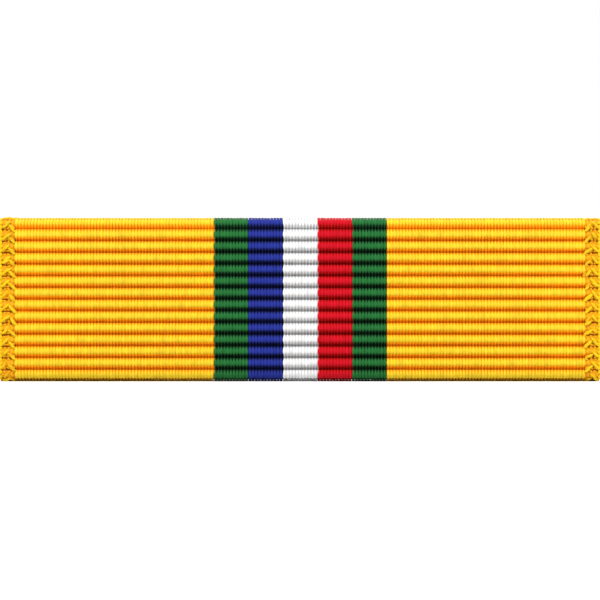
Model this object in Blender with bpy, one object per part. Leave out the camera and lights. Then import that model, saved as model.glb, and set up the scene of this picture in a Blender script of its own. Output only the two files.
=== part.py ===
"""A service ribbon bar: a striped ribbon folded round a brass channel, which slides on a rail with two
posts and two butterfly clutches. Metres, +X along the ribbon, its face towards -Y, +Z up."""

import math

import bmesh
import bpy
from mathutils import Vector

MM = 0.001

# Driving dimensions: a one-ribbon bar is 1 3/8 in by 3/8 in
RIBBON_LENGTH = 34.925 * MM
RIBBON_HEIGHT = 9.525 * MM
RIBBON_THICK = 0.42 * MM
STRIPE_WIDTH = 2.01 * MM
CHANNEL_THICK = 0.25 * MM
RAIL_THICK = 0.6 * MM
POST_SPACING = 19.05 * MM
POST_REACH = 7.5 * MM
CLUTCH_SHEET = 0.28 * MM

# Play between pieces: snug where one lies on the next, free where one slides past it
SNUG = 0.02 * MM
FREE = 0.05 * MM

# Layers from the ribbon's face backwards
CHANNEL_FRONT = RIBBON_THICK + SNUG
RAIL_FRONT = CHANNEL_FRONT + CHANNEL_THICK + FREE
RAIL_BACK = RAIL_FRONT + RAIL_THICK
TUCK_FRONT = RAIL_BACK + FREE
LIP_FRONT = TUCK_FRONT + RIBBON_THICK + SNUG
HEM_FRONT = LIP_FRONT + CHANNEL_THICK + SNUG
HEM_BACK = HEM_FRONT + RIBBON_THICK
CLUTCH_SEAT = HEM_BACK + FREE
FLANGE_FRONT = RAIL_BACK + SNUG
POST_TIP = FLANGE_FRONT + POST_REACH

# Half heights, from the middle of the bar
HALF_HEIGHT = RIBBON_HEIGHT / 2
CHANNEL_TOP = HALF_HEIGHT - RIBBON_THICK - SNUG
RAIL_TOP = CHANNEL_TOP - CHANNEL_THICK - FREE
LIP_EDGE = 2.9 * MM
TUCK_END = 3.9 * MM

# Lengths of the pieces behind the ribbon
CHANNEL_INSET = 0.3 * MM
RAIL_INSET = 0.65 * MM
CHANNEL_LENGTH = RIBBON_LENGTH - 2 * CHANNEL_INSET
RAIL_LENGTH = RIBBON_LENGTH - 2 * RAIL_INSET

# Bends, as radii to the middle of the sheet
RIBBON_BEND = 0.48 * MM
CHANNEL_BEND = 0.175 * MM
RAIL_EDGE_BEVEL = 0.12 * MM

# Post, as radii
FLANGE_RADIUS = 2.0 * MM
FLANGE_THICK = 0.4 * MM
FLANGE_LOW_ROUND = 0.08 * MM
FLANGE_HIGH_ROUND = 0.12 * MM
SHANK_RADIUS = 0.55 * MM
SHANK_FILLET = 0.25 * MM
NOTCH_RADIUS = 0.42 * MM
NOTCH_FROM_TIP = 2.0 * MM
NOTCH_LENGTH = 0.45 * MM
POINT_LENGTH = 1.1 * MM
POINT_RADIUS = 0.08 * MM

# Clutch, as radii from the post's axis and heights above the face that meets the cloth
BASE_RADIUS = 4.76 * MM
COLLAR_RADIUS = 0.78 * MM
COLLAR_HEIGHT = 0.45 * MM
ROLL_WIDTH = 0.5 * MM
CAP_RADIUS = 3.44 * MM
CAP_HEIGHT = 3.69 * MM
CAP_FLANGE_RADIUS = 4.4 * MM
CAP_HOLE_RADIUS = 0.95 * MM
CAP_SHOULDER = 0.5 * MM
SHEET_BEND = 0.16 * MM
WINDOW_LOW = 1.85 * MM
WINDOW_HIGH = 2.85 * MM
WINDOW_WIDTH = 3.3 * MM

# Spring: a hairpin of wire whose legs pinch the post
WIRE_RADIUS = 0.225 * MM
SPRING_HEIGHT = 1.55 * MM
LEG_PLAY = 0.015 * MM
LEG_OFFSET = SHANK_RADIUS + WIRE_RADIUS + LEG_PLAY
HAIRPIN_CENTRE = 1.7 * MM
LEG_END = 1.8 * MM
FLARE_END = 2.4 * MM
FLARE_OFFSET = 1.2 * MM
HAIRPIN_STEPS = 10

# Wing: a lever through the cap's window, forked over the spring's leg
WING_WIDTH = 3.0 * MM
WING_PIVOT = (3.3 * MM, 2.35 * MM)
WING_TIP = (4.95 * MM, 4.6 * MM)
WING_CORNER = 0.9 * MM
FORK_WIDTH = 2.0 * MM
FORK_REACH = 1.5 * MM
HOOK_PLAY = 0.03 * MM
HOOK_RISE = 0.3 * MM
HOOK_OFFSET = LEG_OFFSET - WIRE_RADIUS - HOOK_PLAY - CLUTCH_SHEET / 2
HOOK_FLOOR = SPRING_HEIGHT - WIRE_RADIUS - HOOK_PLAY - CLUTCH_SHEET / 2
WING_SLOPE = (1.35 * MM, 2.35 * MM)
WING_KNEE = 3.75 * MM
WING_BENDS = (0.3 * MM, 0.4 * MM, 0.5 * MM)

# Smoothness, the distance under which two points are one, and the angle under which a bend is smooth
TURN_STEPS = 36
POST_STEPS = 20
ARC_STEPS = 4
SAME_POINT = 1e-7
SMOOTH_BELOW = math.radians(35)


def clear_scene():
    for thing in list(bpy.data.objects):
        bpy.data.objects.remove(thing, do_unlink=True)


def finish(name, colour, roughness, metallic=0.0):
    """A plain material in one colour."""
    made = bpy.data.materials.new(name)
    made.use_nodes = True
    shader = made.node_tree.nodes["Principled BSDF"]
    shader.inputs["Base Color"].default_value = (*colour, 1.0)
    shader.inputs["Roughness"].default_value = roughness
    shader.inputs["Metallic"].default_value = metallic
    made.diffuse_color = (*colour, 1.0)
    return made


def empty(name, place, parent=None):
    """An axis to hang pieces on."""
    made = bpy.data.objects.new(name, None)
    made.location = place
    made.parent = parent
    bpy.context.collection.objects.link(made)
    return made


def add_object(name, data, parent, look, place=(0, 0, 0)):
    made = bpy.data.objects.new(name, data)
    made.location = place
    made.parent = parent
    if look:
        made.data.materials.append(look)
    bpy.context.collection.objects.link(made)
    return made


def mesh_from(name, shape):
    """Ends a bmesh: faces turned outwards, shaded smooth up to its sharp edges."""
    bmesh.ops.recalc_face_normals(shape, faces=shape.faces)
    mesh = bpy.data.meshes.new(name)
    shape.to_mesh(mesh)
    shape.free()
    mesh.shade_smooth()
    mesh.set_sharp_from_angle(angle=SMOOTH_BELOW)
    return mesh


def rounded(corners, radii):
    """A path through 2-D corners, each turned into an arc of its own radius."""
    corners = [Vector(corner) for corner in corners]
    path = [corners[0]]
    for before, corner, after, radius in zip(corners, corners[1:], corners[2:], radii):
        back = (before - corner).normalized()
        ahead = (after - corner).normalized()
        half_angle = back.angle(ahead) / 2
        middle = corner + (back + ahead).normalized() * radius / math.sin(half_angle)
        start = (corner + back * radius / math.tan(half_angle) - middle).normalized()
        end = (corner + ahead * radius / math.tan(half_angle) - middle).normalized()
        for step in range(ARC_STEPS + 1):
            point = middle + start.slerp(end, step / ARC_STEPS) * radius
            if (point - path[-1]).length > SAME_POINT:
                path.append(point)
    path.append(corners[-1])
    return path


def solidify(thing, thickness):
    """Gives a sheet its thickness, half to each side."""
    modifier = thing.modifiers.new("thickness", "SOLIDIFY")
    modifier.thickness = thickness
    modifier.offset = 0
    modifier.use_even_offset = True


def folded_sheet(name, path, across, thickness, parent, look, corner=0.0):
    """A strip whose section is the path, drawn out by the vector across; corner rounds its last edge."""
    shape = bmesh.new()
    points = [shape.verts.new(point) for point in path]
    edges = [shape.edges.new(pair) for pair in zip(points, points[1:])]
    drawn = bmesh.ops.extrude_edge_only(shape, edges=edges)["geom"]
    far_points = [part for part in drawn if isinstance(part, bmesh.types.BMVert)]
    bmesh.ops.translate(shape, verts=far_points, vec=across)
    if corner:
        tip = Vector(path[-1])
        corners = (tip, tip + across)
        ends = [v for v in shape.verts if min((v.co - point).length for point in corners) < SAME_POINT]
        bmesh.ops.bevel(
            shape, geom=ends, offset=corner, segments=4, profile=0.5, affect="VERTICES", material=-1
        )
    made = add_object(name, mesh_from(name, shape), parent, look)
    solidify(made, thickness)
    return made


def turned(name, profile, steps):
    """The mesh that a path of (radius, y) points sweeps about the Y axis."""
    shape = bmesh.new()
    points = [shape.verts.new((radius, along, 0)) for radius, along in profile]
    edges = [shape.edges.new(pair) for pair in zip(points, points[1:])]
    bmesh.ops.spin(
        shape,
        geom=points + edges,
        cent=(0, 0, 0),
        axis=(0, 1, 0),
        angle=math.tau,
        steps=steps,
        use_merge=True,
    )
    bmesh.ops.remove_doubles(shape, verts=shape.verts, dist=SAME_POINT)
    return mesh_from(name, shape)


def box(name, low, high, parent, look):
    """A block between two corners."""
    low, high = Vector(low), Vector(high)
    shape = bmesh.new()
    bmesh.ops.create_cube(shape, size=1.0)
    bmesh.ops.scale(shape, vec=high - low, verts=shape.verts)
    return add_object(name, mesh_from(name, shape), parent, look, (low + high) / 2)


def c_section(start, corners, radii):
    """A C section at one end of the bar, from the (y, z) corners of its upper half, as 3-D points."""
    half = rounded([*corners, (corners[-1][0], 0)], radii)[:-1]
    whole = half + [Vector((y, -z)) for y, z in reversed(half)]
    return [(start, y, z) for y, z in whole]


def build_ribbon(bar):
    """The ribbon's seven colour bands, side by side, each folded round the channel and tucked in."""
    gold = finish("gold_yarn", (0.93, 0.62, 0.03), 0.75)
    green = finish("green_yarn", (0.02, 0.16, 0.05), 0.75)
    blue = finish("blue_yarn", (0.025, 0.04, 0.32), 0.75)
    white = finish("white_yarn", (0.9, 0.9, 0.88), 0.75)
    red = finish("red_yarn", (0.66, 0.012, 0.025), 0.75)
    field = (RIBBON_LENGTH - 5 * STRIPE_WIDTH) / 2
    bands = (
        ("ribbon_gold_left", gold, field),
        ("ribbon_green_left", green, STRIPE_WIDTH),
        ("ribbon_blue", blue, STRIPE_WIDTH),
        ("ribbon_white", white, STRIPE_WIDTH),
        ("ribbon_red", red, STRIPE_WIDTH),
        ("ribbon_green_right", green, STRIPE_WIDTH),
        ("ribbon_gold_right", gold, field),
    )
    half = RIBBON_THICK / 2
    fold_bend = (HEM_BACK - TUCK_FRONT - RIBBON_THICK) / 2
    fold = LIP_EDGE + SNUG - fold_bend
    top = HALF_HEIGHT - half
    tuck, hem = TUCK_FRONT + half, HEM_BACK - half
    corners = [(tuck, TUCK_END), (tuck, fold), (hem, fold), (hem, top), (half, top)]
    radii = [fold_bend, fold_bend, RIBBON_BEND, RIBBON_BEND]
    start = -RIBBON_LENGTH / 2
    for name, yarn, width in bands:
        low = start if name == "ribbon_gold_left" else start + SNUG / 2
        high = start + width if name == "ribbon_gold_right" else start + width - SNUG / 2
        section = c_section(low, corners, radii)
        folded_sheet(name, section, Vector((high - low, 0, 0)), RIBBON_THICK, bar, yarn)
        start += width


def build_channel(bar, brass):
    """The thin channel inside the ribbon, with lips that hold it on the rail."""
    half = CHANNEL_THICK / 2
    front, lip, top = CHANNEL_FRONT + half, LIP_FRONT + half, CHANNEL_TOP - half
    corners = [(lip, LIP_EDGE), (lip, top), (front, top)]
    section = c_section(-CHANNEL_LENGTH / 2, corners, [CHANNEL_BEND, CHANNEL_BEND])
    folded_sheet("slider_channel", section, Vector((CHANNEL_LENGTH, 0, 0)), CHANNEL_THICK, bar, brass)


def build_rail(bar, brass):
    """The strip that the channel slides on."""
    rail = box(
        "mounting_rail",
        (-RAIL_LENGTH / 2, RAIL_FRONT, -RAIL_TOP),
        (RAIL_LENGTH / 2, RAIL_BACK, RAIL_TOP),
        bar,
        brass,
    )
    modifier = rail.modifiers.new("edges", "BEVEL")
    modifier.width = RAIL_EDGE_BEVEL
    modifier.segments = 2


def build_post(side, axis, brass):
    """A nail with a flange at its root, a notch near its point and a short cone for a tip."""
    flange_top = FLANGE_FRONT + FLANGE_THICK
    notch_end = POST_TIP - NOTCH_FROM_TIP
    notch_start = notch_end - NOTCH_LENGTH
    slope = SHANK_RADIUS - NOTCH_RADIUS
    outline = rounded(
        [
            (0, FLANGE_FRONT),
            (FLANGE_RADIUS, FLANGE_FRONT),
            (FLANGE_RADIUS, flange_top),
            (SHANK_RADIUS, flange_top),
            (SHANK_RADIUS, notch_start - slope),
        ],
        [FLANGE_LOW_ROUND, FLANGE_HIGH_ROUND, SHANK_FILLET],
    )
    outline += [
        (NOTCH_RADIUS, notch_start),
        (NOTCH_RADIUS, notch_end),
        (SHANK_RADIUS, notch_end + slope),
        (SHANK_RADIUS, POST_TIP - POINT_LENGTH),
        (POINT_RADIUS, POST_TIP - POINT_RADIUS / 2),
        (0, POST_TIP),
    ]
    post = turned(f"post_{side}", outline, POST_STEPS)
    add_object(f"post_{side}", post, axis, brass)


def build_clutch_base(side, clutch, brass):
    """The disc that meets the cloth: a drawn collar at its hole and a rim rolled over the cap's flange."""
    half = CLUTCH_SHEET / 2
    wall = BASE_RADIUS - half
    rolled = 2 * CLUTCH_SHEET + 2 * SNUG + half
    path = rounded(
        [
            (COLLAR_RADIUS, COLLAR_HEIGHT),
            (COLLAR_RADIUS, half),
            (wall, half),
            (wall, rolled),
            (wall - ROLL_WIDTH, rolled),
        ],
        [SHEET_BEND, SHEET_BEND, SHEET_BEND],
    )
    base = add_object(f"clutch_{side}_base", turned("base", path, TURN_STEPS), clutch, brass)
    solidify(base, CLUTCH_SHEET)


def build_clutch_cap(side, clutch, brass):
    """The domed cap: a flange under the rolled rim, a hole for the post and a window for each wing."""
    half = CLUTCH_SHEET / 2
    wall = CAP_RADIUS - half
    flange = CLUTCH_SHEET + SNUG + half
    path = rounded(
        [
            (CAP_HOLE_RADIUS, CAP_HEIGHT - half),
            (wall, CAP_HEIGHT - half),
            (wall, flange),
            (CAP_FLANGE_RADIUS, flange),
        ],
        [CAP_SHOULDER, SHEET_BEND],
    )
    cap = add_object(f"clutch_{side}_cap", turned("cap", path, TURN_STEPS), clutch, brass)
    solidify(cap, CLUTCH_SHEET)
    reach = BASE_RADIUS
    windows = box(
        f"clutch_{side}_windows",
        (-reach, WINDOW_LOW, -WINDOW_WIDTH / 2),
        (reach, WINDOW_HIGH, WINDOW_WIDTH / 2),
        clutch,
        None,
    )
    windows.hide_render = True
    windows.display_type = "WIRE"
    modifier = cap.modifiers.new("windows", "BOOLEAN")
    modifier.operation = "DIFFERENCE"
    modifier.object = windows


def build_clutch_spring(side, clutch, steel):
    """A hairpin of spring wire: two legs along the post's sides, flared at their free ends."""
    turn = [math.pi * step / HAIRPIN_STEPS for step in range(HAIRPIN_STEPS + 1)]
    bend = [(LEG_OFFSET * math.cos(a), HAIRPIN_CENTRE + LEG_OFFSET * math.sin(a)) for a in turn]
    right = [(FLARE_OFFSET, -FLARE_END), (LEG_OFFSET, -LEG_END), (LEG_OFFSET, 0)]
    route = right + bend + [(-x, z) for x, z in reversed(right)]
    wire = bpy.data.curves.new(f"clutch_{side}_spring", "CURVE")
    wire.dimensions = "3D"
    wire.bevel_depth = WIRE_RADIUS
    wire.bevel_resolution = 2
    wire.use_fill_caps = True
    spline = wire.splines.new("POLY")
    spline.points.add(len(route) - 1)
    for point, (x, z) in zip(spline.points, route):
        point.co = (x, SPRING_HEIGHT, z, 1)
    add_object(wire.name, wire, clutch, steel)


def build_clutch_wing(name, turn, clutch, brass):
    """A lever that pivots in the cap's window: a paddle outside, and inside a fork that hooks the spring."""
    pivot = Vector(WING_PIVOT)
    path = rounded(
        [
            (HOOK_OFFSET, SPRING_HEIGHT + HOOK_RISE),
            (HOOK_OFFSET, HOOK_FLOOR),
            (WING_SLOPE[0], HOOK_FLOOR),
            (WING_SLOPE[1], WING_PIVOT[1]),
            (WING_KNEE, WING_PIVOT[1]),
            WING_TIP,
        ],
        [SHEET_BEND, *WING_BENDS],
    )
    axis = empty(f"{name}_axis", (math.cos(turn) * WING_PIVOT[0], WING_PIVOT[1], 0), clutch)
    axis.rotation_euler = (0, turn, 0)
    section = [(x - pivot.x, y - pivot.y, -WING_WIDTH / 2) for x, y in path]
    wing = folded_sheet(
        name, section, Vector((0, 0, WING_WIDTH)), CLUTCH_SHEET, axis, brass, corner=WING_CORNER
    )
    fork = box(
        f"{name}_fork",
        (-pivot.x, -pivot.y, -FORK_WIDTH / 2),
        (FORK_REACH - pivot.x, SPRING_HEIGHT + 2 * HOOK_RISE - pivot.y, FORK_WIDTH / 2),
        axis,
        None,
    )
    fork.hide_render = True
    fork.display_type = "WIRE"
    modifier = wing.modifiers.new("fork", "BOOLEAN")
    modifier.operation = "DIFFERENCE"
    modifier.object = fork


def build():
    clear_scene()
    brass = finish("brass", (0.78, 0.57, 0.25), 0.3, 1.0)
    steel = finish("spring_steel", (0.6, 0.6, 0.6), 0.28, 1.0)
    bar = empty("bar", (0, -POST_TIP / 2, HALF_HEIGHT))
    build_ribbon(bar)
    build_channel(bar, brass)
    build_rail(bar, brass)
    for side, sign in (("left", -1), ("right", 1)):
        axis = empty(f"post_{side}_axis", (sign * POST_SPACING / 2, 0, 0), bar)
        build_post(side, axis, brass)
        clutch = empty(f"clutch_{side}", (0, CLUTCH_SEAT, 0), axis)
        build_clutch_base(side, clutch, brass)
        build_clutch_cap(side, clutch, brass)
        build_clutch_spring(side, clutch, steel)
        build_clutch_wing(f"clutch_{side}_wing_outer", math.pi * (side == "left"), clutch, brass)
        build_clutch_wing(f"clutch_{side}_wing_inner", math.pi * (side == "right"), clutch, brass)


build()
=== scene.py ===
"""A service ribbon bar: striped grosgrain on a brass channel, on a rail with two pins and clutches."""

import math
from functools import cache

import bmesh
import bpy
from mathutils import Matrix, Vector, noise
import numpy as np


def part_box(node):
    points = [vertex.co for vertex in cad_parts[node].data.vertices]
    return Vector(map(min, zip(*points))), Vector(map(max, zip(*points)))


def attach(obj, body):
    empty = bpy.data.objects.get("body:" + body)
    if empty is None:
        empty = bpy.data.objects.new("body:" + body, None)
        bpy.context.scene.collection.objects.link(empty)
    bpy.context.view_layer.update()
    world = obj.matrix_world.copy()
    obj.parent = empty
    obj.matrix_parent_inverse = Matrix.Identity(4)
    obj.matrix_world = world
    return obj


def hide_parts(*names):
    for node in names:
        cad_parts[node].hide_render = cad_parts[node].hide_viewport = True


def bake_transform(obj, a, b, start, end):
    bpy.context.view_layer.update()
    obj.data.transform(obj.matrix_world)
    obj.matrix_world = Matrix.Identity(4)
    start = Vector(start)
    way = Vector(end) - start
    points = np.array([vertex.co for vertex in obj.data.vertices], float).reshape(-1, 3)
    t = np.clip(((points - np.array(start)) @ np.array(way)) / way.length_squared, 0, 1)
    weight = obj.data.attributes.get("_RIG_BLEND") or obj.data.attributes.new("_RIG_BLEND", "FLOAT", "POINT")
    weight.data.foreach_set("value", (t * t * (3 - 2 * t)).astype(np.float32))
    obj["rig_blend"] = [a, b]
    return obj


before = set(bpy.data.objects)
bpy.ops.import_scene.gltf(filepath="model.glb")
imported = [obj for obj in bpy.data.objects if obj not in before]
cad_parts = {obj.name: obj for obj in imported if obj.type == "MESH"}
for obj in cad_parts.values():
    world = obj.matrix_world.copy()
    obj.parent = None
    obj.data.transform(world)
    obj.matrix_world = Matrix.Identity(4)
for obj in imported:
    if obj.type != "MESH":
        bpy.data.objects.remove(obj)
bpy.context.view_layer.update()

MM = 0.001

# --- The ribbon's ground -----------------------------------------------------------------------------
# Grosgrain: thick cotton cords run along the bar inside the weave and make the ribs. The strip is folded
# round the channel, over its lips and back inside them, with its two cut ends hidden in front of the lips.

LEFT_END, RIGHT_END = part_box("ribbon_gold_left")[0][0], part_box("ribbon_gold_right")[1][0]
FACE, HEM_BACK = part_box("ribbon_white")[0][1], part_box("ribbon_white")[1][1]
BOTTOM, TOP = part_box("ribbon_white")[0][2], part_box("ribbon_white")[1][2]
MIDDLE = (BOTTOM + TOP) / 2
THICK = 0.42 * MM
FOLD = 0.48 * MM  # radius to the middle of the thickness, at the top and bottom edges
LIP_FOLD = 0.355 * MM  # the same, round the free edge of a lip
LIP_FOLD_HEIGHT = 2.92 * MM  # from the bar's middle
TUCK = 0.98 * MM
FLAT_HALF = (TOP - BOTTOM) / 2 - FOLD - THICK / 2
RUNS = (  # (length, radius of the bend or 0) from the face's middle to the tucked end
    (FLAT_HALF, 0),
    (FOLD * math.pi / 2, FOLD),
    (HEM_BACK - FACE - 2 * FOLD - THICK, 0),
    (FOLD * math.pi / 2, FOLD),
    (FLAT_HALF - LIP_FOLD_HEIGHT, 0),
    (LIP_FOLD * math.pi, LIP_FOLD),
    (TUCK, 0),
)
HALF_LENGTH = sum(length for length, radius in RUNS)
WARP_MARGIN = 0.2 * MM  # how far before the tuck the warp is cut
SEEN_LENGTH = HALF_LENGTH - TUCK - WARP_MARGIN

RIB = FLAT_HALF / 6  # six ribs each way on the flat, and one more on each fold
RIB_DEPTH = 0.3 * MM
RIB_ROUNDNESS = 3.2  # 2 is a parabola; more makes the crest flatter and the sides steeper
RIB_ROWS = 10
RIB_SHARE = 0.9  # how much of the spacing a rib takes up; the rest is the valley's floor
RIB_SHIFT = 0.075  # how far up from the middle, in ribs, the first valley lies


@cache
def course(distance):
    """(y, z, outward y, outward z) at a distance up the ribbon's mid-thickness from the face's middle."""
    left, turn = abs(distance), 0.0
    y, z = FACE + THICK / 2, 0.0
    for length, radius in RUNS:
        step = min(left, length)
        left -= step
        if radius:
            y, z = y + math.cos(turn) * radius, z - math.sin(turn) * radius
            turn += step / radius
            y, z = y - math.cos(turn) * radius, z + math.sin(turn) * radius
        else:
            y, z = y + math.sin(turn) * step, z + math.cos(turn) * step
        if left <= 0:
            break
    side = math.copysign(1.0, distance)
    return y, MIDDLE + side * z, -math.cos(turn), side * math.sin(turn)


def on_ribbon(x, distance, lift):
    """A point on the ribbon: lift 0 is the ribs' crests, and below 0 is towards the channel."""
    y, z, out_y, out_z = course(distance)
    lift += THICK / 2
    return Vector((x, y + out_y * lift, z + out_z * lift))


def rib_phase(distance):
    """How far up a rib a place is: 0 in the valley below it, 1 in the valley above it."""
    return (distance / RIB - RIB_SHIFT) % 1.0


@cache
def rib_rise(distance):
    """0 at the bottom of the valley between two ribs, 1 on a crest."""
    return 1 - min(1.0, abs(2 * rib_phase(distance) - 1) / RIB_SHARE) ** RIB_ROUNDNESS


def rib_steps(length):
    """Distances along the ribbon, from -length to length, at even steps over each rib."""
    half = [row / RIB_ROWS * RIB for row in range(math.ceil(length / RIB) * RIB_ROWS)]
    half = [step for step in half if step < length] + [length]
    return [-step for step in reversed(half[1:])] + half


SMOOTH_BELOW = 50  # degrees between two faces that are still shaded as one surface


def finish_piece(name, shape, material, body):
    """Ends a bmesh: outward faces, smooth shading, a material and the body it rides on."""
    bmesh.ops.recalc_face_normals(shape, faces=shape.faces)
    mesh = bpy.data.meshes.new(name)
    shape.to_mesh(mesh)
    shape.free()
    mesh.shade_smooth()
    mesh.set_sharp_from_angle(angle=math.radians(SMOOTH_BELOW))
    mesh.materials.append(material)
    piece = bpy.data.objects.new(name, mesh)
    bpy.context.collection.objects.link(piece)
    if body:
        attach(piece, body)
    return piece


def new_material(name, roughness, metallic=0.0, **sockets):
    """A Principled material; sockets are constants such as Sheen_Weight. Returns it and its tree."""
    made = bpy.data.materials.new(name)
    made.use_nodes = True
    shader = made.node_tree.nodes["Principled BSDF"]
    shader.inputs["Roughness"].default_value = roughness
    shader.inputs["Metallic"].default_value = metallic
    for socket, value in sockets.items():
        shader.inputs[socket.replace("_", " ")].default_value = value
    return made, made.node_tree


def add_node(tree, kind, inputs=None, **settings):
    """A shader node with its settings, and inputs given as values or as other nodes' outputs."""
    node = tree.nodes.new("ShaderNode" + kind)
    for setting, value in settings.items():
        setattr(node, setting, value)
    for socket, value in (inputs or {}).items():
        if isinstance(value, bpy.types.NodeSocket):
            tree.links.new(value, node.inputs[socket])
        else:
            node.inputs[socket].default_value = value
    return node


def ramp(tree, value, *stops):
    """A colour ramp over (position, colour) stops; colours are linear RGB or one grey level."""
    node = add_node(tree, "ValToRGB", {"Fac": value})
    band = node.color_ramp.elements
    while len(band) < len(stops):
        band.new(0.5)
    for element, (position, colour) in zip(band, stops):
        element.position = position
        grey = isinstance(colour, float)
        element.color = (*(3 * [colour] if grey else colour), 1.0)
    return node.outputs["Color"]


def mix(tree, share, first, second, blend="MIX"):
    """Two colours blended: at share 0 the first, and at share 1 the second or what blend makes of both."""
    inputs = {"Fac": share, "Color1": first, "Color2": second}
    return add_node(tree, "MixRGB", inputs, blend_type=blend).outputs["Color"]


def multiply(tree, first, second):
    """The product of two colours."""
    return mix(tree, 1.0, first, second, "MULTIPLY")


def drive(tree, socket, value):
    """Gives an input of the material's shader a node's output."""
    tree.links.new(value, tree.nodes["Principled BSDF"].inputs[socket])


def add_bump(tree, height, strength, distance):
    """Makes a pattern stand out of the surface."""
    inputs = {"Height": height, "Strength": strength, "Distance": distance}
    drive(tree, "Normal", add_node(tree, "Bump", inputs).outputs["Normal"])


TWIST = 38  # degrees between a yarn's fibres and the bar's length


def yarn_material(name, crest, valley):
    """Spun yarn: crest colour where it lies on a rib, turning through painted shade to the valley colour
    towards the valleys, with fine fibres.
    """
    made, tree = new_material(name, 0.78, Sheen_Weight=0.02, Sheen_Roughness=0.4, Specular_IOR_Level=0.08)
    place = add_node(tree, "TexCoord").outputs["Object"]
    painted_shade = add_node(tree, "Attribute", attribute_name="painted_shade").outputs["Fac"]
    tone = add_node(tree, "Attribute", attribute_name="tone").outputs["Fac"]
    # Painted shade: the crest colour turns to the darker valley colour where the yarn lies low between ribs
    colour = ramp(tree, painted_shade, (0.02, crest), (0.35, valley))
    mottle = add_node(tree, "TexNoise", {"Vector": place, "Scale": 2600.0, "Detail": 3.0}).outputs["Fac"]
    colour = multiply(tree, colour, ramp(tree, mottle, (0.3, 0.9), (0.7, 1.0)))
    drive(tree, "Base Color", multiply(tree, colour, ramp(tree, tone, (0.1, 0.8), (0.9, 1.0))))
    slant = {"Vector": place, "Rotation": (0.0, math.radians(TWIST), 0.0)}
    twist = add_node(tree, "Mapping", slant).outputs["Vector"]
    fibres = add_node(tree, "TexWave", {"Vector": twist, "Scale": 9000.0, "Distortion": 3.0, "Detail": 2.0})
    add_bump(tree, fibres.outputs["Fac"], 0.35, 0.01 * MM)
    return made


# Colours of each dyed yarn on a crest and in a valley, and of the cords that show between yarns there. The
# valley colour is painted shade and bounced light, darker and more saturated than the crest; the cords'
# colour is darkened by painted shade.
DYES = {
    "gold": ((0.76, 0.54, 0.0225), (1.0, 0.43, 0.004), (1.0, 0.3, 0.003)),
    "green": ((0.016, 0.139, 0.031), (0.008, 0.062, 0.018), (0.003, 0.022, 0.006)),
    "blue": ((0.017, 0.029, 0.255), (0.009, 0.014, 0.105), (0.003, 0.005, 0.04)),
    "white": ((0.76, 0.76, 0.76), (0.76, 0.76, 0.76), (0.5, 0.5, 0.5)),
    "red": ((0.54, 0.004, 0.0135), (0.58, 0.003, 0.004), (0.3, 0.001, 0.001)),
}
YARNS = {dye: yarn_material(f"{dye}_yarn", *colours[:2]) for dye, colours in DYES.items()}

BAND_NODES = (
    "ribbon_gold_left",
    "ribbon_green_left",
    "ribbon_blue",
    "ribbon_white",
    "ribbon_red",
    "ribbon_green_right",
    "ribbon_gold_right",
)

GROUND_DEPTH = 0.1 * MM  # how far below the outside of the warp yarns the cords lie
SELVEDGE = 0.9 * MM  # how far in from an end the chain of stitches reaches
EDGE_CORDS = (0.82, 0.34, 0.008)


def ground_material():
    """The cords under the warp: the colour that each band has between its yarns, darkened by painted shade,
    and another at the ends.
    """
    made, tree = new_material("ribbon_ground", 0.85, Specular_IOR_Level=0.1)
    place = add_node(tree, "TexCoord").outputs["Object"]
    across = add_node(tree, "SeparateXYZ", {"Vector": place}).outputs["X"]
    share = add_node(
        tree, "MapRange", {"Value": across, "From Min": LEFT_END, "From Max": RIGHT_END}
    ).outputs["Result"]
    stops = []
    for node in BAND_NODES:
        dye = node.split("_")[1]
        start = (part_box(node)[0][0] - LEFT_END) / (RIGHT_END - LEFT_END)
        # The cords' own colour, darkened as painted shade between the yarns
        stops.append((start, DYES[dye][2]))
    edge = SELVEDGE / (RIGHT_END - LEFT_END)
    stops = [(0.0, EDGE_CORDS), (edge, DYES["gold"][2]), *stops[1:], (1 - edge, EDGE_CORDS)]
    colour = ramp(tree, share, *stops)
    colour.node.color_ramp.interpolation = "CONSTANT"
    wave = {"Vector": place, "Scale": 1700.0, "Distortion": 1.0}
    threads = add_node(tree, "TexWave", wave, bands_direction="X").outputs["Fac"]
    drive(tree, "Base Color", multiply(tree, colour, ramp(tree, threads, (0.0, 0.7), (1.0, 1.0))))
    return made


def build_ground():
    """The strip itself, as its ribbed section drawn from one end of the bar to the other."""
    steps = rib_steps(HALF_LENGTH)
    shape = bmesh.new()
    outer = [on_ribbon(LEFT_END, s, (rib_rise(s) - 1) * RIB_DEPTH - GROUND_DEPTH) for s in steps]
    inner = [on_ribbon(LEFT_END, s, -THICK) for s in reversed(steps)]
    section = shape.faces.new([shape.verts.new(point) for point in outer + inner])
    drawn = bmesh.ops.extrude_face_region(shape, geom=[section])["geom"]
    far = [part for part in drawn if isinstance(part, bmesh.types.BMVert)]
    bmesh.ops.translate(shape, verts=far, vec=(RIGHT_END - LEFT_END, 0, 0))
    return finish_piece("ribbon_ground", shape, ground_material(), "ribbon")


ground = build_ground()

# --- The warp ----------------------------------------------------------------------------------------
# Dyed yarns that run up the bar, side by side, over every rib and down into every valley. Seven groups
# of them, each of one colour, make the stripes. They lie close on a crest and pinch apart in a valley.

YARN_PITCH = 0.184 * MM
YARN_AROUND = 6
YARN_DEPTH = 0.08 * MM
CREST_SPREAD, VALLEY_SPREAD = 1.08, 0.38  # a yarn's width there, as a share of the pitch
SPREAD_POWER = 4  # the higher it is, the closer to a crest a yarn stays pinched
UPPER_SIDE_PAINTED_SHADE = 0.4  # the upper side of a rib gets this share of the lower side's painted shade, so the lower side, turned from the light above, is darker
WANDER_PACE, WANDER_ASIDE, WANDER_OUT = 1.3, 0.07, 0.014 * MM  # per rib, in pitches, outwards
SHADE_PACE = 0.8  # how fast a yarn's shade changes, per rib


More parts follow.
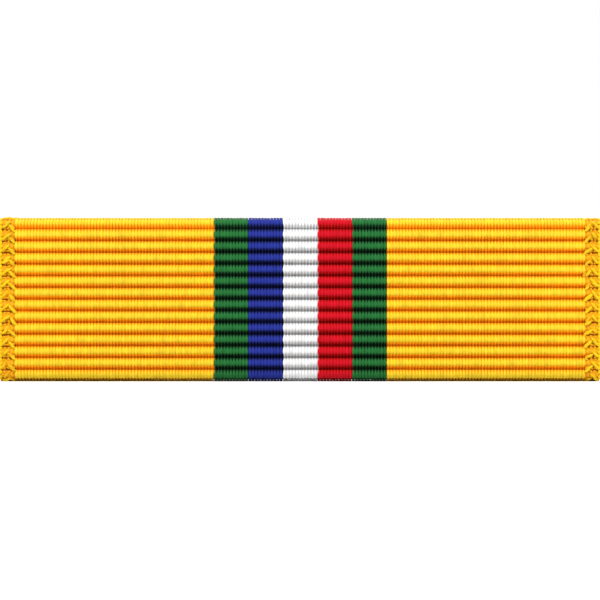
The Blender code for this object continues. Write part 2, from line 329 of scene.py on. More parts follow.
def drift(*place):
    """A random number between -1 and 1 that changes smoothly with three numbers, and never between runs."""
    return noise.noise(Vector(place))


def layers(shape):
    """The two numbers that a yarn's material reads: its painted shade towards the valley colour, and its own
    tone, which differs at random.
    """
    return shape.verts.layers.float["painted_shade"], shape.verts.layers.float["tone"]


def new_yarn_shape():
    """An empty bmesh with those two numbers for each of its points."""
    shape = bmesh.new()
    shape.verts.layers.float.new("painted_shade")
    shape.verts.layers.float.new("tone")
    return shape


def unique_edges(verts):
    """The edges that meet at some vertices, each once."""
    return list(dict.fromkeys(edge for vert in verts for edge in vert.link_edges))


def tube_template(rows):
    """A straight closed tube as a mesh, with its rings one apart along Z."""
    shape = bmesh.new()
    edges = unique_edges(bmesh.ops.create_circle(shape, segments=YARN_AROUND, radius=1.0)["verts"])
    for _ in range(rows):
        drawn = bmesh.ops.extrude_edge_only(shape, edges=edges)["geom"]
        edges = [part for part in drawn if isinstance(part, bmesh.types.BMEdge) and part.is_boundary]
        ring = [part for part in drawn if isinstance(part, bmesh.types.BMVert)]
        bmesh.ops.translate(shape, verts=ring, vec=(0, 0, 1))
    bmesh.ops.holes_fill(shape, edges=shape.edges, sides=YARN_AROUND)
    mesh = bpy.data.meshes.new("tube")
    shape.to_mesh(mesh)
    shape.free()
    return mesh


def add_yarn(shape, template, x, pitch, steps, seed):
    """One warp yarn: a flattened tube that spreads on the crests and pinches in the valleys."""
    before = len(shape.verts)
    shape.from_mesh(template)
    shape.verts.ensure_lookup_table()
    painted_shade, tone = layers(shape)
    rings = []
    for distance in steps:
        rise = rib_rise(distance)
        spread = pitch * (VALLEY_SPREAD + (CREST_SPREAD - VALLEY_SPREAD) * rise**SPREAD_POWER) / 2
        wander = drift(distance / RIB * WANDER_PACE, seed, 0.0)
        shade = 0.5 + 0.5 * drift(distance / RIB * SHADE_PACE, 0.0, seed)
        lift = (rise - 1) * RIB_DEPTH - YARN_DEPTH / 2 + wander * WANDER_OUT
        middle = on_ribbon(x + WANDER_ASIDE * pitch * wander, distance, lift)
        outward = Vector((0, *course(distance)[2:])) * YARN_DEPTH / 2
        # Painted shade: the lower side of each rib, turned from the light above, gets more of it than the
        # upper side
        side_painted_shade = UPPER_SIDE_PAINTED_SHADE if rib_phase(distance) > 0.5 else 1.0
        rings.append((middle, Vector((spread, 0, 0)), outward, (1 - rise) * side_painted_shade, shade))
    for vert in shape.verts[before:]:
        middle, sideways, outward, valley_shade, shade = rings[round(vert.co.z)]
        vert.co = middle + sideways * vert.co.x + outward * vert.co.y
        # Painted shade towards the valleys, for the material's valley colour
        vert[painted_shade] = valley_shade
        vert[tone] = shade


WARP_STEPS = rib_steps(SEEN_LENGTH)
TUBE = tube_template(len(WARP_STEPS) - 1)


def build_band(node):
    """All the yarns of one colour band."""
    low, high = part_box(node)[0][0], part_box(node)[1][0]
    if node == "ribbon_gold_left":
        low += SELVEDGE
    if node == "ribbon_gold_right":
        high -= SELVEDGE
    count = round((high - low) / YARN_PITCH)
    pitch = (high - low) / count
    shape = new_yarn_shape()
    for number in range(count):
        x = low + (number + 0.5) * pitch
        add_yarn(shape, TUBE, x, pitch, WARP_STEPS, seed=low * 1e4 + number * 7.3)
    dye = node.split("_")[1]
    band = finish_piece(node.replace("ribbon", "warp"), shape, YARNS[dye], "ribbon")
    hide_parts(node)
    return band


bands = [build_band(node) for node in BAND_NODES]

# --- The selvedges -----------------------------------------------------------------------------------
# At each end the filling yarn turns back and is knitted into a chain that locks the edge: two columns of
# slanting stitches, which lean together like the letter V upside down, over a bed of yarn, and small loops
# along the end.

STITCH_SIZE = (0.52 * MM, 0.2 * MM, 0.26 * MM)  # of one of its two strands: along, across and outwards
STRAND_GAP = 0.21 * MM
STITCH_WANDER = (0.04 * MM, 0.08, 14, 0.3)  # inwards, up in ribs, turned in degrees and share of the size
STRAND_STRAY = (0.12 * MM, 0.06 * MM, 0.09 * MM, 0.5)  # inwards, up, outwards and turned in radians
STITCH_COLUMNS = (  # how far in from the end, the slant in degrees, and the place as a share of a rib
    (0.75 * MM, 41.0, 0.1),
    (0.36 * MM, -43.0, 0.39),
)
LOOP_INSET = 0.09 * MM
LOOP_SIZE = (0.2 * MM, 0.3 * MM, 0.24 * MM)
LOOP_STARTS = (0.15, 0.48, 0.82)  # the places of loops and bed, as shares of a rib
LOOP_WANDER, LOOP_TURN = 0.06, 0.5  # in ribs, and in radians
STITCH_LIFT = -0.13 * MM
STITCH_SINK = 0.45 * MM  # how much lower a stitch must lie to get one more unit of painted shade
SIDE_SHADE, SHADED_BELOW = 0.34, 0.75  # how fast painted shade grows on a stitch, below this share of its height
BED_SIZE = (0.34 * MM, 0.2 * MM, 0.26 * MM)
BED_LIFT = -0.21 * MM
BED_INSETS = (0.3 * MM, 0.55 * MM, 0.8 * MM)
BED_TURN = 2.5  # in radians


def grain_template():
    """A round grain one across, as a mesh that each stitch is shaped from."""
    shape = bmesh.new()
    bmesh.ops.create_uvsphere(shape, u_segments=10, v_segments=8, radius=0.5)
    mesh = bpy.data.meshes.new("grain")
    shape.to_mesh(mesh)
    shape.free()
    return mesh


GRAIN = grain_template()
# The stitches' yarn: its second colour is painted shade, darker and redder, for their lower sides and for
# stitches that lie low
chain_yarn = yarn_material("chain_yarn", (0.74, 0.48, 0.008), (0.6, 0.14, 0.002))


def add_stitch(shape, x, distance, slant, size, lift, seed):
    """One stitch: a plump grain of yarn that lies on the ribbon, with painted shade round its lower sides,
    and more of it the lower the stitch lies.
    """
    out_y, out_z = course(distance)[2:]
    lie = Matrix(((1, 0, 0), (0, -out_z, out_y), (0, out_y, out_z)))
    turn = lie @ Matrix.Rotation(slant, 3, "Z") @ Matrix.Diagonal(Vector(size))
    middle = on_ribbon(x, distance, lift)
    before = len(shape.verts)
    shape.from_mesh(GRAIN)
    shape.verts.ensure_lookup_table()
    painted_shade, tone = layers(shape)
    shade = 0.5 + 0.5 * drift(seed * 1.7, 3.3, 0.0)
    # Painted shade for a stitch that lies below the others
    low_stitch_shade = max(0.0, STITCH_LIFT - lift) / STITCH_SINK
    for vert in shape.verts[before:]:
        vert[painted_shade] = low_stitch_shade + SIDE_SHADE * max(0.0, SHADED_BELOW - 2 * vert.co.z)
        vert[tone] = shade
        vert.co = middle + turn @ vert.co


def add_stitch_pair(shape, x, distance, angle, size, seed):
    """A slanting stitch of the chain, as its two strands side by side."""
    stray_in, stray_up, stray_out, stray_turn = STRAND_STRAY
    for strand in (-0.5, 0.5):
        stray = drift(seed * 1.3, strand * 9.0, 1.0)
        aside = strand * STRAND_GAP
        strand_x = x + (-math.sin(angle) * aside + stray_in * stray)
        strand_up = distance + (math.cos(angle) * aside - stray_up * stray)
        lift = STITCH_LIFT + stray_out * stray
        add_stitch(shape, strand_x, strand_up, angle + stray_turn * stray, size, lift, seed + strand)


def build_selvedge(side, end, inward):
    """The chain along one end of the ribbon, over every rib that shows."""
    shape = new_yarn_shape()
    ribs = int(SEEN_LENGTH / RIB)
    wander_in, wander_up, wander_turn, wander_size = STITCH_WANDER
    for rib in range(-ribs, ribs):
        for inset, slant, start in STITCH_COLUMNS:
            seed = rib * 3.1 + inset * 1e4 + inward
            wander = drift(seed, 0.7, 0.0)
            x = end + inward * (inset + wander * wander_in)
            distance = (rib + start + wander_up * wander) * RIB
            angle = math.radians(slant + wander_turn * wander) * inward
            size = [length * (1 + wander_size * wander) for length in STITCH_SIZE]
            add_stitch_pair(shape, x, distance, angle, size, seed)
        for start in LOOP_STARTS:
            wander = drift(rib * 2.3 + start, inward * 5.1, 0.0)
            x = end + inward * LOOP_INSET
            distance = (rib + start + LOOP_WANDER * wander) * RIB
            add_stitch(shape, x, distance, LOOP_TURN * wander, LOOP_SIZE, STITCH_LIFT, rib)
            for inset in BED_INSETS:
                x = end + inward * inset
                turned = BED_TURN * drift(rib * 4.1 + start, inset * 3e3, inward)
                add_stitch(shape, x, distance, turned, BED_SIZE, BED_LIFT, inset * 2e4 + rib)
    chain = finish_piece(f"selvedge_{side}", shape, chain_yarn, "ribbon")
    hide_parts(f"ribbon_gold_{side}")
    return chain


selvedges = [build_selvedge("left", LEFT_END, 1), build_selvedge("right", RIGHT_END, -1)]

# --- The slider channel and the mounting rail ------------------------------------------------------------
# The ribbon is folded round a thin brass channel, whose two lips hook over a flat brass rail, so that bars
# slide on from the end. Both are pressed from brass strip, rolled bright and dulled by handling.

CHANNEL_THICK = 0.25 * MM
CHANNEL_BEND = 0.175 * MM
LIP_EDGE = 2.9 * MM
RAIL_EDGE = 0.14 * MM
EDGE_SOFTNESS = 0.03 * MM
SOFTEN_OVER = 50  # degrees that an edge has to turn by to be softened
ARC_STEPS = 8


def arc_path(corners, radii):
    """A path through 2-D corners, each turned into an arc of its own radius."""
    corners = [Vector(corner) for corner in corners]
    path = [corners[0]]
    for before, corner, after, radius in zip(corners, corners[1:], corners[2:], radii):
        back, ahead = (before - corner).normalized(), (after - corner).normalized()
        half_angle = back.angle(ahead) / 2
        middle = corner + (back + ahead).normalized() * radius / math.sin(half_angle)
        start = (corner + back * radius / math.tan(half_angle) - middle).normalized()
        end = (corner + ahead * radius / math.tan(half_angle) - middle).normalized()
        path += [middle + start.slerp(end, step / ARC_STEPS) * radius for step in range(ARC_STEPS + 1)]
    return path + [corners[-1]]


def draw_strip(shape, points, across):
    """A sheet whose section is a row of points, drawn out by the vector across."""
    verts = [shape.verts.new(point) for point in points]
    edges = [shape.edges.new(pair) for pair in zip(verts, verts[1:])]
    drawn = bmesh.ops.extrude_edge_only(shape, edges=edges)["geom"]
    far = [part for part in drawn if isinstance(part, bmesh.types.BMVert)]
    bmesh.ops.translate(shape, verts=far, vec=across)


def thicken(piece, thickness, softness=EDGE_SOFTNESS):
    """Gives a sheet its thickness, half to each side, and takes the sharpness off its edges."""
    wall = piece.modifiers.new("wall", "SOLIDIFY")
    wall.thickness = thickness
    wall.offset = 0
    wall.use_even_offset = True
    soften = piece.modifiers.new("edges", "BEVEL")
    soften.width = softness
    soften.segments = 2
    soften.limit_method = "ANGLE"
    soften.angle_limit = math.radians(SOFTEN_OVER)
    soften.harden_normals = True


def tarnished(tree, place, bright, dull):
    """Gives the shader a metal's colour: bright, with duller patches and fine specks. Returns the patches."""
    texture = {"Vector": place, "Scale": 420.0, "Detail": 5.0, "Roughness": 0.62}
    patches = add_node(tree, "TexNoise", texture).outputs["Fac"]
    specks = add_node(tree, "TexNoise", {"Vector": place, "Scale": 5200.0, "Detail": 2.0}).outputs["Fac"]
    colour = ramp(tree, patches, (0.38, bright), (0.88, dull))
    drive(tree, "Base Color", multiply(tree, colour, ramp(tree, specks, (0.28, 0.85), (0.45, 1.0))))
    return patches


BRASS = (0.83, 0.54, 0.18)
DULL_BRASS = (0.6, 0.36, 0.11)


def brass_material(name, stretch, roughness=(0.2, 0.34)):
    """Rolled or pressed brass, its fine grain drawn out along the axis where stretch is small."""
    made, tree = new_material(name, 0.3, 1.0)
    place = add_node(tree, "TexCoord").outputs["Object"]
    patches = tarnished(tree, place, BRASS, DULL_BRASS)
    drawn = add_node(tree, "Mapping", {"Vector": place, "Scale": stretch}).outputs["Vector"]
    grain = add_node(tree, "TexNoise", {"Vector": drawn, "Scale": 9000.0, "Detail": 3.0}).outputs["Fac"]
    worn = mix(tree, 0.5, patches, grain)
    drive(tree, "Roughness", ramp(tree, worn, (0.35, roughness[0]), (0.65, roughness[1])))
    add_bump(tree, grain, 0.12, 0.003 * MM)
    return made


rolled_brass = brass_material("rolled_brass", (0.03, 1.0, 1.0))


def build_channel():
    """The C section, with its lips towards the back, drawn the length of the channel."""
    low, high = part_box("slider_channel")
    half = CHANNEL_THICK / 2
    front, lip, top = low.y + half, high.y - half, high.z - MIDDLE - half
    upper = arc_path([(lip, LIP_EDGE), (lip, top), (front, top), (front, 0)], 2 * [CHANNEL_BEND])
    section = upper[:-1] + [Vector((y, -z)) for y, z in reversed(upper[:-1])]
    shape = bmesh.new()
    draw_strip(shape, [(low.x, y, MIDDLE + z) for y, z in section], (high.x - low.x, 0, 0))
    channel = finish_piece("brass_channel", shape, rolled_brass, "ribbon")
    thicken(channel, CHANNEL_THICK)
    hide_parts("slider_channel")


def build_rail():
    """Flat strip with its edges rolled round."""
    low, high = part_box("mounting_rail")
    shape = bmesh.new()
    bmesh.ops.create_cube(shape, size=1.0)
    bmesh.ops.scale(shape, vec=high - low, verts=shape.verts)
    bmesh.ops.translate(shape, vec=(high + low) / 2, verts=shape.verts)
    round_off = {"offset": RAIL_EDGE, "segments": 5, "profile": 0.5, "material": -1}
    bmesh.ops.bevel(shape, geom=shape.edges, affect="EDGES", **round_off)
    rail = finish_piece("brass_rail", shape, rolled_brass, "rail")
    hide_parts("mounting_rail")


build_channel()
build_rail()

# --- The posts ---------------------------------------------------------------------------------------
# Two nails with flat heads, soft-soldered to the back of the rail. Each has a turned notch near its point,
# where a clutch's spring snaps in when the clutch is further out, and is sharp enough to go through cloth.

FLANGE_RADIUS, FLANGE_THICK = 2.0 * MM, 0.4 * MM
SHANK_RADIUS, SHANK_FILLET = 0.55 * MM, 0.25 * MM
NOTCH_RADIUS, NOTCH_LENGTH, NOTCH_FROM_TIP = 0.42 * MM, 0.45 * MM, 2.0 * MM
POINT_LENGTH, POINT_RADIUS = 1.1 * MM, 0.05 * MM
NOTCH_ROUND = 0.06 * MM
POST_ROUNDS = (0.08 * MM, 0.12 * MM, SHANK_FILLET, *4 * [NOTCH_ROUND], 0.5 * MM, 0.04 * MM)
SOLDER_WIDTH, SOLDER_HEIGHT, SOLDER_ROUND = 0.3 * MM, 0.22 * MM, 0.06 * MM
SOLDER_OVERLAP, SOLDER_SINK, SOLDER_LUMP = 0.05 * MM, 0.01 * MM, 0.12 * MM  # under the rim, into the rail
TURN_STEPS = 96
SAME_PLACE = 1e-7  # points closer than this are one

SIDES = ("left", "right")
POST_X = {side: (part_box(f"post_{side}")[0].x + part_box(f"post_{side}")[1].x) / 2 for side in SIDES}
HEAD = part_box("post_left")[0].y
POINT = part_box("post_left")[1].y
RAIL_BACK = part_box("mounting_rail")[1].y


def turn_round(shape, outline, x):
    """Sweeps a path of (radius, y) about a post's axis, which is at x."""
    verts = [shape.verts.new((x + radius, along, MIDDLE)) for radius, along in outline]
    edges = [shape.edges.new(pair) for pair in zip(verts, verts[1:])]
    bmesh.ops.spin(
        shape,
        geom=verts + edges,
        cent=(x, 0, MIDDLE),
        axis=(0, 1, 0),
        angle=math.tau,
        steps=TURN_STEPS,
        use_merge=True,
    )
    bmesh.ops.remove_doubles(shape, verts=shape.verts, dist=SAME_PLACE)


def turned_material(name, x):
    """Brass turned on a lathe or spun: fine rings round a post's axis, with tarnish over them."""
    made, tree = new_material(name, 0.3, 1.0)
    place = add_node(tree, "TexCoord").outputs["Object"]
    patches = tarnished(tree, place, BRASS, DULL_BRASS)
    centred = add_node(tree, "Mapping", {"Vector": place, "Location": (-x, 0.0, -MIDDLE)}).outputs["Vector"]
    wave = {"Vector": centred, "Scale": 5200.0, "Distortion": 1.2, "Detail": 3.0}
    rings = add_node(tree, "TexWave", wave, wave_type="RINGS", rings_direction="Y").outputs["Fac"]
    worn = mix(tree, 0.35, patches, rings)
    drive(tree, "Roughness", ramp(tree, worn, (0.3, 0.14), (0.7, 0.32)))
    add_bump(tree, rings, 0.2, 0.003 * MM)
    return made


def solder_material():
    """Soft solder: dull grey, slightly lumpy where it froze."""
    made, tree = new_material("solder", 0.45, 1.0)
    place = add_node(tree, "TexCoord").outputs["Object"]
    add_bump(tree, tarnished(tree, place, (0.62, 0.62, 0.6), (0.34, 0.34, 0.35)), 0.6, 0.05 * MM)
    return made


solder = solder_material()
turned_brass = {side: turned_material(f"turned_brass_{side}", POST_X[side]) for side in SIDES}


def build_post(side):
    """The nail, from its head on the rail to its point."""
    head_top = HEAD + FLANGE_THICK
    notch_end = POINT - NOTCH_FROM_TIP
    notch_start = notch_end - NOTCH_LENGTH
    slope = SHANK_RADIUS - NOTCH_RADIUS
    outline = arc_path(
        [
            (0, HEAD),
            (FLANGE_RADIUS, HEAD),
            (FLANGE_RADIUS, head_top),
            (SHANK_RADIUS, head_top),
            (SHANK_RADIUS, notch_start - slope),
            (NOTCH_RADIUS, notch_start),
            (NOTCH_RADIUS, notch_end),
            (SHANK_RADIUS, notch_end + slope),
            (SHANK_RADIUS, POINT - POINT_LENGTH),
            (POINT_RADIUS, POINT - POINT_RADIUS),
            (0, POINT),
        ],
        POST_ROUNDS,
    )
    shape = bmesh.new()
    turn_round(shape, outline, POST_X[side])
    nail = finish_piece(f"nail_{side}", shape, turned_brass[side], "rail")
    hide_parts(f"post_{side}")


def build_solder(side):
    """The bead of solder round the nail's head, where it meets the rail."""
    rim, foot = FLANGE_RADIUS - SOLDER_OVERLAP, RAIL_BACK - SOLDER_SINK
    corners = [(rim, foot), (rim, RAIL_BACK + SOLDER_HEIGHT), (rim + SOLDER_WIDTH, foot)]
    bead = arc_path(corners, [SOLDER_ROUND])
    shape = bmesh.new()
    turn_round(shape, bead + bead[:1], POST_X[side])
    middle = Vector((POST_X[side], 0, MIDDLE))
    for vert in shape.verts:
        outward = (vert.co - middle) * Vector((1, 0, 1))
        around = math.atan2(outward.z, outward.x)
        lump = drift(2 * math.cos(around), 2 * math.sin(around), POST_X[side] * 1e3)
        share = (outward.length - rim) / SOLDER_WIDTH
        vert.co += outward.normalized() * share * lump * SOLDER_LUMP
    finish_piece(f"solder_{side}", shape, solder, "rail")


for side in SIDES:
    build_post(side)
    build_solder(side)

# --- The clutches ------------------------------------------------------------------------------------
# Pressed brass: a disc with a drawn collar meets the cloth, and its rim is rolled over the flange of a
# domed cap. Two wings come out through windows in the cap, for the finger and thumb that pinch it open.

SHEET = 0.28 * MM
SHEET_BEND = 0.16 * MM
BASE_RADIUS = 4.76 * MM
COLLAR_RADIUS, COLLAR_HEIGHT = 0.78 * MM, 0.45 * MM
ROLL_WIDTH = 0.5 * MM
CAP_RADIUS, CAP_HEIGHT = 3.44 * MM, 3.69 * MM
CAP_FLANGE_RADIUS, CAP_HOLE_RADIUS, CAP_SHOULDER = 4.4 * MM, 0.95 * MM, 0.5 * MM
PLAY = 0.02 * MM
RIM_SOFTNESS = 0.05 * MM
WINDOW_LOW, WINDOW_HIGH, WINDOW_WIDTH = 1.85 * MM, 2.85 * MM, 3.3 * MM
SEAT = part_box("clutch_left_base")[0].y
ON_PLANE = 1e-8  # points closer to a cut than this lie on it


def cut_across(shape, geometry, planes):
    """Cuts faces along planes, each given as a point and a normal, and leaves both sides in place."""
    for point, normal in planes:
        bmesh.ops.bisect_plane(shape, geom=geometry(), plane_co=point, plane_no=normal, dist=ON_PLANE)


def build_clutch_base(side):
    """The disc: its collar round the post, its flat, and its rim rolled back over the cap's flange."""
    half = SHEET / 2
    wall = BASE_RADIUS - half
    rolled = 2 * SHEET + 2 * PLAY + half
    outline = arc_path(
        [
            (COLLAR_RADIUS, COLLAR_HEIGHT),
            (COLLAR_RADIUS, half),
            (wall, half),
            (wall, rolled),
            (wall - ROLL_WIDTH, rolled),
        ],
        3 * [SHEET_BEND],
    )
    shape = bmesh.new()
    turn_round(shape, [(radius, SEAT + height) for radius, height in outline], POST_X[side])
    base = finish_piece(f"clutch_disc_{side}", shape, turned_brass[side], f"clutch_{side}")
    thicken(base, SHEET, RIM_SOFTNESS)
    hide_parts(f"clutch_{side}_base")


def build_clutch_cap(side):
    """The dome, with its flange and its hole, cut open at the two windows."""
    half = SHEET / 2
    wall = CAP_RADIUS - half
    flange = SHEET + PLAY + half
    outline = arc_path(
        [
            (CAP_HOLE_RADIUS, CAP_HEIGHT - half),
            (wall, CAP_HEIGHT - half),
            (wall, flange),
            (CAP_FLANGE_RADIUS, flange),
        ],
        [CAP_SHOULDER, SHEET_BEND],
    )
    shape = bmesh.new()
    turn_round(shape, [(radius, SEAT + height) for radius, height in outline], POST_X[side])
    low, high, edge = SEAT + WINDOW_LOW, SEAT + WINDOW_HIGH, WINDOW_WIDTH / 2
    planes = (
        ((0, low, 0), (0, 1, 0)),
        ((0, high, 0), (0, 1, 0)),
        ((0, 0, MIDDLE - edge), (0, 0, 1)),
        ((0, 0, MIDDLE + edge), (0, 0, 1)),
    )
    cut_across(shape, lambda: [*shape.verts, *shape.edges, *shape.faces], planes)
    opened = []
    for face in shape.faces:
        middle = face.calc_center_median()
        aside = abs(middle.x - POST_X[side]) > CAP_RADIUS / 2
        if low < middle.y < high and abs(middle.z - MIDDLE) < edge and aside:
            opened.append(face)
    bmesh.ops.delete(shape, geom=opened, context="FACES")
    cap = finish_piece(f"clutch_dome_{side}", shape, turned_brass[side], f"clutch_{side}")
    thicken(cap, SHEET)
    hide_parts(f"clutch_{side}_cap")


for side in SIDES:
    build_clutch_base(side)
    build_clutch_cap(side)

# --- The clutches' wings -------------------------------------------------------------------------------
# Each wing is a pressed lever that rocks on the edge of its window: a round-cornered paddle outside, and
# inside a fork with two hooks behind a leg of the spring. Tumbled smooth, with its grain across it.

WING_WIDTH = 3.0 * MM
WING_PIVOT = (3.3 * MM, 2.35 * MM)
WING_TIP = (4.95 * MM, 4.6 * MM)
WING_CORNER = 0.9 * MM
FORK_WIDTH, FORK_REACH = 2.0 * MM, 1.5 * MM
FORK_SIDE = 2.0 * MM  # what has its middle nearer the post than this may be cut for the fork
SPRING_HEIGHT = 1.55 * MM
HOOK_RISE = 0.3 * MM
HOOK_OFFSET, HOOK_FLOOR = 0.395 * MM, 1.155 * MM
WING_SLOPE = (1.35 * MM, 2.35 * MM)
WING_KNEE = 3.75 * MM
WING_BENDS = (SHEET_BEND, 0.3 * MM, 0.4 * MM, 0.5 * MM)

wing_brass = brass_material("tumbled_brass", (1.0, 1.0, 0.08), (0.14, 0.3))


def build_wing(side, which):
    """One lever, drawn across its width, with its two outer corners rounded and the fork cut out."""
    outward = -1 if (side == "left") == (which == "outer") else 1
    body = f"clutch_{side}_wing_{which}"
    path = arc_path(
        [
            (HOOK_OFFSET, SPRING_HEIGHT + HOOK_RISE),
            (HOOK_OFFSET, HOOK_FLOOR),
            (WING_SLOPE[0], HOOK_FLOOR),
            (WING_SLOPE[1], WING_PIVOT[1]),
            (WING_KNEE, WING_PIVOT[1]),
            WING_TIP,
        ],
        WING_BENDS,
    )
    start = MIDDLE - WING_WIDTH / 2
    section = [Vector((POST_X[side] + outward * x, SEAT + height, start)) for x, height in path]
    shape = bmesh.new()
    draw_strip(shape, section, (0, 0, WING_WIDTH))
    tips = (section[-1], section[-1] + Vector((0, 0, WING_WIDTH)))
    corners = [vert for vert in shape.verts if min((vert.co - tip).length for tip in tips) < SAME_PLACE]
    round_off = {"offset": WING_CORNER, "segments": 12, "profile": 0.5, "material": -1}
    bmesh.ops.bevel(shape, geom=corners, affect="VERTICES", **round_off)

    def near_post():
        """The faces that the fork may be cut from, with their edges and corners."""
        parts = {}
        for face in shape.faces:
            if (face.calc_center_median().x - POST_X[side]) * outward < FORK_SIDE:
                parts.update(dict.fromkeys((*face.verts, *face.edges, face)))
        return list(parts)

    reach = POST_X[side] + outward * FORK_REACH
    planes = (
        ((reach, 0, 0), (1, 0, 0)),
        ((0, 0, MIDDLE - FORK_WIDTH / 2), (0, 0, 1)),
        ((0, 0, MIDDLE + FORK_WIDTH / 2), (0, 0, 1)),
    )
    cut_across(shape, near_post, planes)
    slot = []
    for face in shape.faces:
        middle = face.calc_center_median()
        if (middle.x - reach) * outward < 0 and abs(middle.z - MIDDLE) < FORK_WIDTH / 2:
            slot.append(face)
    bmesh.ops.delete(shape, geom=slot, context="FACES")
    wing = finish_piece(f"wing_{side}_{which}", shape, wing_brass, body)
    thicken(wing, SHEET)
    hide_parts(body)


for side in SIDES:
    build_wing(side, "outer")
    build_wing(side, "inner")

# --- The clutches' springs -----------------------------------------------------------------------------
# A hairpin of hard-drawn steel wire, caught inside the cap. Its two legs run close by the post's shank, one
# on each side, and flare at their ends. Each goes with the wing that hooks it, so the hairpin has two halves.

WIRE_RADIUS = 0.225 * MM
LEG_GAP = 0.015 * MM  # between a leg and the shank
LEG_OFFSET = SHANK_RADIUS + WIRE_RADIUS + LEG_GAP
HAIRPIN_CENTRE = 1.7 * MM
LEG_START, LEG_END = HAIRPIN_CENTRE - 0.1 * MM, -1.8 * MM
FLARE_END, FLARE_OFFSET, FLARE_BEND = -2.4 * MM, 1.2 * MM, 0.4 * MM
TIP_LENGTH, TIP_RADIUS = WIRE_RADIUS / 3, WIRE_RADIUS * 0.6
WIRE_AROUND = 20
HAIRPIN_STEPS = 16


def steel_material():
    """Hard-drawn spring wire: cool grey, fairly bright, with fine draw marks."""
    made, tree = new_material("spring_wire", 0.28, 1.0)
    place = add_node(tree, "TexCoord").outputs["Object"]
    tarnished(tree, place, (0.68, 0.68, 0.69), (0.42, 0.4, 0.38))
    drawn = add_node(tree, "Mapping", {"Vector": place, "Scale": (1.0, 1.0, 0.05)}).outputs["Vector"]
    marks = add_node(tree, "TexNoise", {"Vector": drawn, "Scale": 14000.0, "Detail": 2.0}).outputs["Fac"]
    drive(tree, "Roughness", ramp(tree, marks, (0.3, 0.2), (0.7, 0.42)))
    return made


spring_wire = steel_material()


def draw_wire(shape, points, radii, start_along):
    """A closed tube through points, with a ring of its own radius at each, square to the way it runs."""
    rings = []
    for number, (point, radius) in enumerate(zip(points, radii)):
        along = points[min(number + 1, len(points) - 1)] - points[max(number - 1, 0)]
        if number == 0:
            along = start_along
        sideways = along.normalized().cross(Vector((0, 1, 0)))
        turn_to = Matrix((sideways, Vector((0, 1, 0)), along.normalized())).transposed().to_4x4()
        place = Matrix.Translation(point) @ turn_to
        ring = bmesh.ops.create_circle(shape, segments=WIRE_AROUND, radius=radius, matrix=place)["verts"]
        rings.append(unique_edges(ring))
    for first, second in zip(rings, rings[1:]):
        bmesh.ops.bridge_loops(shape, edges=first + second)
    bmesh.ops.holes_fill(shape, edges=shape.edges, sides=WIRE_AROUND)


def build_spring_half(side, which):
    """Half of the hairpin's bend, one leg and its flare, ending in a rounded tip."""
    outward = -1 if (side == "left") == (which == "outer") else 1
    turn = [math.pi / 2 * step / HAIRPIN_STEPS for step in range(HAIRPIN_STEPS + 1)]
    route = [(LEG_OFFSET * math.sin(a), HAIRPIN_CENTRE + LEG_OFFSET * math.cos(a)) for a in turn]
    corners = [(LEG_OFFSET, LEG_START), (LEG_OFFSET, LEG_END), (FLARE_OFFSET, FLARE_END)]
    route += arc_path(corners, [FLARE_BEND])
    points = [Vector((POST_X[side] + outward * x, SEAT + SPRING_HEIGHT, MIDDLE + z)) for x, z in route]
    radii = [*len(points) * [WIRE_RADIUS], TIP_RADIUS]
    points.append(points[-1] + (points[-1] - points[-2]).normalized() * TIP_LENGTH)
    shape = bmesh.new()
    draw_wire(shape, points, radii, Vector((outward, 0, 0)))
    half = finish_piece(f"spring_{side}_{which}", shape, spring_wire, None)
    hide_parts(f"clutch_{side}_spring")
    middle = Vector((POST_X[side], SEAT + SPRING_HEIGHT, MIDDLE))
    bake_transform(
        half,
        f"clutch_{side}",
        f"clutch_{side}_wing_{which}",
        start=middle + Vector((0, 0, HAIRPIN_CENTRE + LEG_OFFSET)),
        end=middle + Vector((0, 0, WING_WIDTH / 2)),
    )


for side in SIDES:
    build_spring_half(side, "outer")
    build_spring_half(side, "inner")

# --- The table, the light and the camera ---------------------------------------------------------------
# A white table, a small light high in front of the bar, a broad one behind it, white surroundings, and a
# long lens level with the ribbon's middle, square on to its face.

TABLE_SIZE = 4.0
FILL = 0.85  # how much light the white surroundings give
TABLE_SEEN, TABLE_BOUNCE, TABLE_REFLECTED = 0.92, 0.8, 0.3  # by the camera, on to things, and in metal


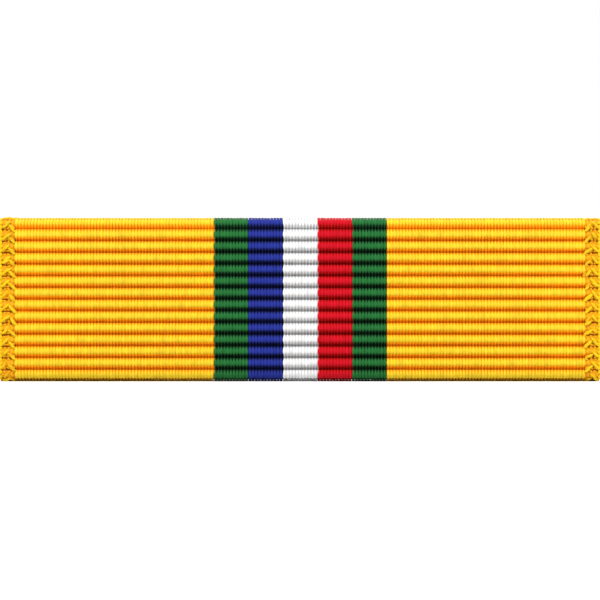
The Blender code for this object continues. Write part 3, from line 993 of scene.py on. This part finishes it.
def build_table():
    """A white table that lights things a little less than it shows, and is dim in their reflections."""
    mesh = bpy.data.meshes.new("table")
    shape = bmesh.new()
    bmesh.ops.create_grid(shape, x_segments=1, y_segments=1, size=TABLE_SIZE / 2)
    shape.to_mesh(mesh)
    shape.free()
    made, tree = new_material("table_top", 0.9)
    paths = add_node(tree, "LightPath").outputs
    given = ramp(tree, paths["Is Glossy Ray"], (0.0, TABLE_BOUNCE), (1.0, TABLE_REFLECTED))
    drive(tree, "Base Color", mix(tree, paths["Is Camera Ray"], given, (*3 * [TABLE_SEEN], 1.0)))
    mesh.materials.append(made)
    table = bpy.data.objects.new("table", mesh)
    bpy.context.collection.objects.link(table)


def add_sun(name, elevation, azimuth, strength, softness):
    """A light from far away, with its angles in degrees; azimuth 0 is in front of the bar."""
    light = bpy.data.lights.new(name, "SUN")
    light.energy = strength
    light.angle = math.radians(softness)
    lamp = bpy.data.objects.new(name, light)
    up, around = math.radians(elevation), math.radians(azimuth)
    towards = Vector((math.sin(around) * math.cos(up), -math.cos(around) * math.cos(up), math.sin(up)))
    lamp.rotation_euler = towards.to_track_quat("Z", "Y").to_euler()
    bpy.context.collection.objects.link(lamp)


build_table()
add_sun("key_light", elevation=54, azimuth=0, strength=3.0, softness=6)
add_sun("back_light", elevation=40, azimuth=165, strength=2.2, softness=25)

world = bpy.data.worlds.new("studio")
world.use_nodes = True
studio = world.node_tree
paths = add_node(studio, "LightPath").outputs
towards = add_node(studio, "TexCoord").outputs["Generated"]
up = add_node(studio, "SeparateXYZ", {"Vector": towards}).outputs["Z"]
reflected = ramp(studio, up, (0.0, 0.25), (0.35, 0.35), (0.6, 1.0))  # brighter towards the top
given = mix(studio, paths["Is Diffuse Ray"], reflected, (*3 * [FILL], 1.0))
seen = mix(studio, paths["Is Camera Ray"], given, (1.0, 1.0, 1.0, 1.0))
studio.links.new(seen, studio.nodes["Background"].inputs["Color"])
bpy.context.scene.world = world
bpy.context.scene.view_settings.view_transform = "Standard"

LENS = 200.0
SENSOR = 36.0
FILLING = 0.997  # the ribbon's ends just meet the picture's edges
LEVEL = 0.03 * MM  # how far below the ribbon's middle the lens looks
camera_data = bpy.data.cameras.new("camera")
camera_data.lens = LENS
camera_data.sensor_width = SENSOR
camera_data.clip_start = 0.01
camera = bpy.data.objects.new("camera", camera_data)
camera.location = (0, FACE - (RIGHT_END - LEFT_END) * LENS / SENSOR * FILLING, MIDDLE - LEVEL)
camera.rotation_euler = (math.radians(90), 0, 0)
bpy.context.collection.objects.link(camera)
bpy.context.scene.camera = camera
